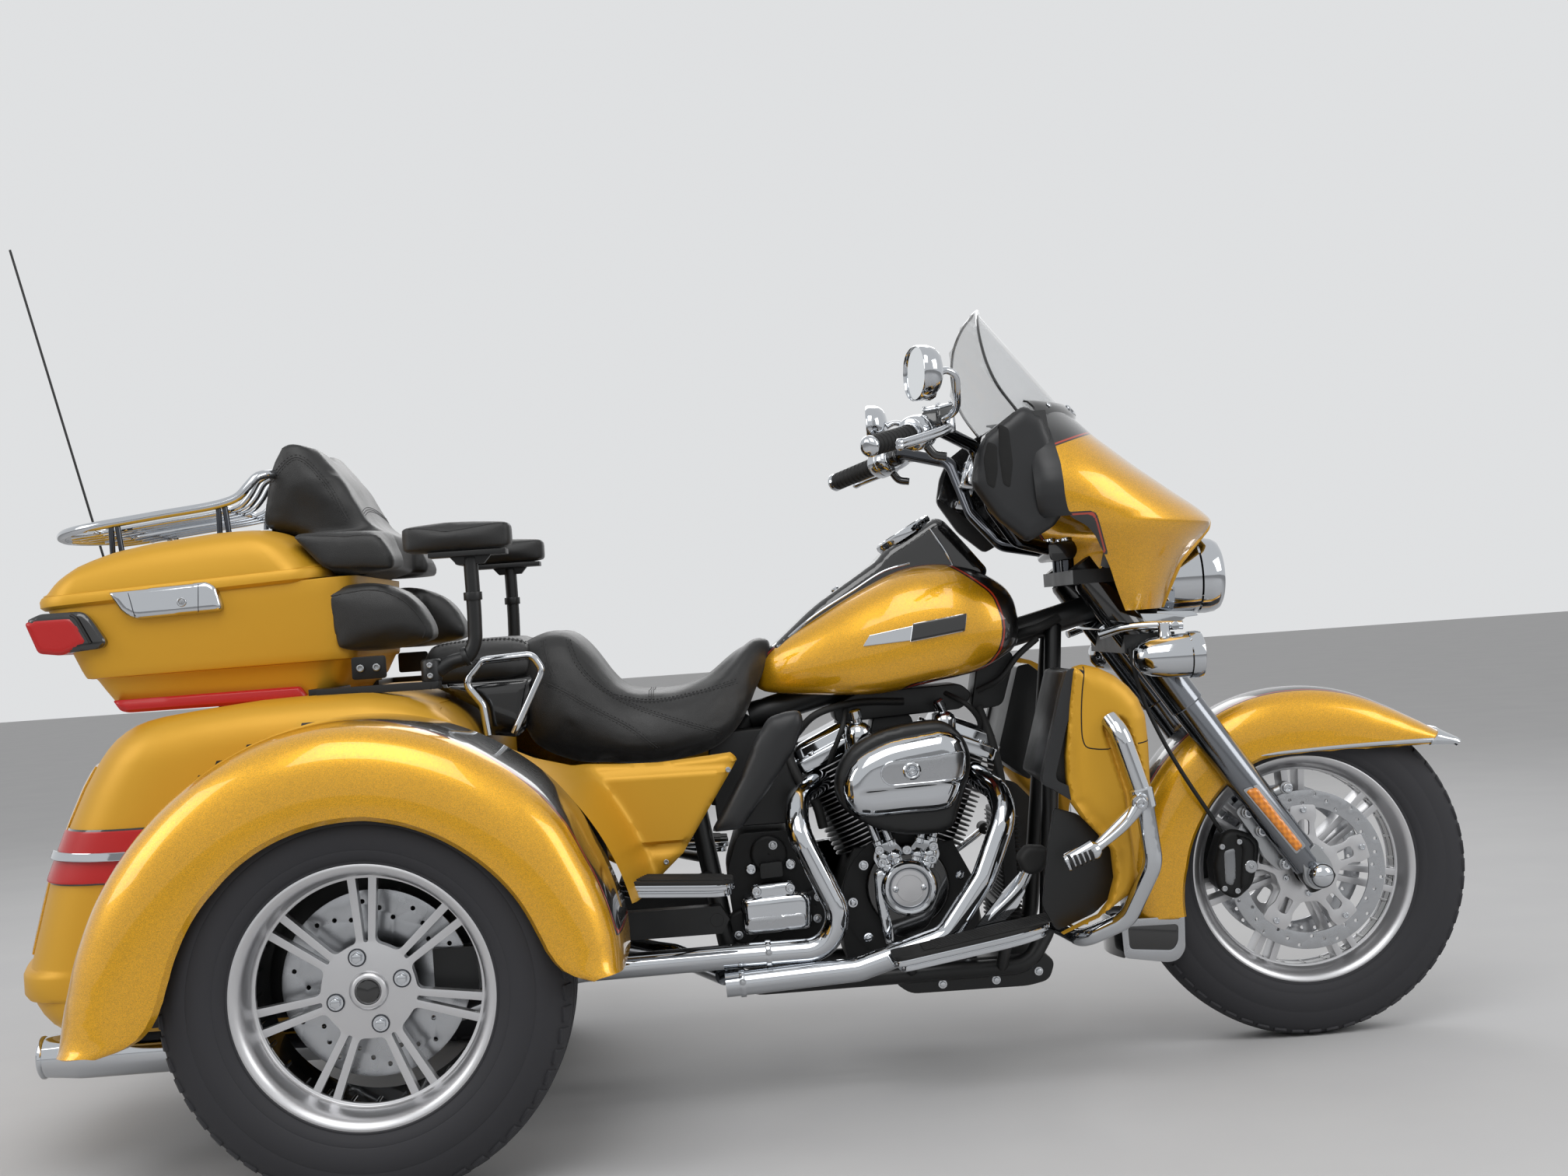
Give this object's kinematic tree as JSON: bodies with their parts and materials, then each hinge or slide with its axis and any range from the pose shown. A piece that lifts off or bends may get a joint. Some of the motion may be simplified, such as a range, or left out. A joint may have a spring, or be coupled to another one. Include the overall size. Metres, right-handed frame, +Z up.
{
  "type": "motorized trike",
  "caption": "Full-dress touring trike with a V-twin engine, fork-mounted fairing, stepped seat, armrests, top luggage box and a trunk between the rear wheels.",
  "frame": {"origin": "bottom centre of the overall box, on the floor", "axes": "+X to the front of the trike, +Y to its left, +Z up"},
  "size_m": [2.7774, 1.3948, 1.7176],
  "materials": {
    "gold_paint": "metallic gloss",
    "black_paint": "gloss",
    "chrome": "polished",
    "engine_case": "satin",
    "cylinder_black": "satin black with bright fin edges",
    "black_plastic": "fine grain",
    "gloss_black": "gloss",
    "red_lens": "gloss, tinted",
    "seat_leather": "satin",
    "tyre_rubber": "matte",
    "soft_rubber": "matte",
    "disc_steel": "turned",
    "clear_screen": "clear",
    "machined_aluminium": "machined faces with gloss black pockets",
    "fork_steel": "polished"
  },
  "bodies": {
    "chassis": {"frame": "black_paint", "rear_axle": "black_paint", "engine_block": "engine_case", "engine_covers": "chrome", "cylinders": "cylinder_black", "air_cleaner": "chrome", "gearbox": "engine_case", "exhaust": "chrome", "trunk_body": "gold_paint", "rear_fenders": "gold_paint", "rear_lamps": "red_lens", "side_covers": "gold_paint", "heat_deflectors": "black_plastic", "rider_seat": "seat_leather", "passenger_seat": "seat_leather", "grab_rails": "chrome", "luggage_base": "gold_paint", "antenna": "black_plastic", "backrest_base": "seat_leather", "fuel_tank": "gold_paint", "tank_console": "gloss_black", "lower_fairings": "gold_paint", "lower_inners": "black_plastic", "engine_guard": "chrome", "footboards": "soft_rubber", "foot_controls": "chrome"},
    "steering": {"fork": "fork_steel", "callipers": "gloss_black", "front_fender": "gold_paint", "fairing_outer": "gold_paint", "fairing_inner": "black_plastic", "windshield": "clear_screen", "headlight": "chrome", "aux_lamps": "chrome", "handlebar": "chrome", "grips": "soft_rubber", "hand_controls": "chrome", "mirrors": "chrome", "brake_hose": "soft_rubber"},
    "front_wheel": {"front_tyre": "tyre_rubber", "front_rim": "machined_aluminium", "front_discs": "disc_steel"},
    "rear_wheel_right": {"rear_tyre_right": "tyre_rubber", "rear_rim_right": "machined_aluminium"},
    "rear_wheel_left": {"rear_tyre_left": "tyre_rubber", "rear_rim_left": "machined_aluminium"},
    "lid": {"luggage_lid": "gold_paint", "lid_latch": "chrome", "luggage_rack": "chrome", "backrest_top": "seat_leather"},
    "door": {"trunk_door": "gold_paint"},
    "armrest_right": {"armrest_post_right": "black_plastic", "armrest_pad_right": "seat_leather"},
    "armrest_left": {"armrest_post_left": "black_plastic", "armrest_pad_left": "seat_leather"}
  },
  "joints": [
    {"name": "steering_turn", "type": "hinge", "parent": "chassis", "child": "steering", "pos_m": [0.77956, 0, 0.8], "axis": [-0.4384, 0, 0.8988], "range_deg": [-30, 30]},
    {"name": "front_wheel_spin", "type": "hinge", "parent": "steering", "child": "front_wheel", "pos_m": [1.06975, 0, 0.319], "axis": [0, 1, 0], "continuous": true},
    {"name": "rear_wheel_right_spin", "type": "hinge", "parent": "chassis", "child": "rear_wheel_right", "pos_m": [-0.60025, -0.571, 0.3235], "axis": [0, 1, 0], "continuous": true},
    {"name": "rear_wheel_left_spin", "type": "hinge", "parent": "chassis", "child": "rear_wheel_left", "pos_m": [-0.60025, 0.571, 0.3235], "axis": [0, 1, 0], "continuous": true},
    {"name": "luggage_lid_turn", "type": "hinge", "parent": "chassis", "child": "lid", "pos_m": [-0.89525, 0.3, 0.98], "axis": [-1, 0, 0], "range_deg": [0, 75]},
    {"name": "trunk_door_turn", "type": "hinge", "parent": "chassis", "child": "door", "pos_m": [-1.26425, 0, 0.366], "axis": [0, -1, 0], "range_deg": [0, 85]},
    {"name": "armrest_right_swing", "type": "hinge", "parent": "chassis", "child": "armrest_right", "pos_m": [-0.50625, -0.342, 0.81], "axis": [0, 0, -1], "range_deg": [0, 60]},
    {"name": "armrest_left_swing", "type": "hinge", "parent": "chassis", "child": "armrest_left", "pos_m": [-0.50625, 0.342, 0.81], "axis": [0, 0, 1], "range_deg": [0, 60]}
  ]
}
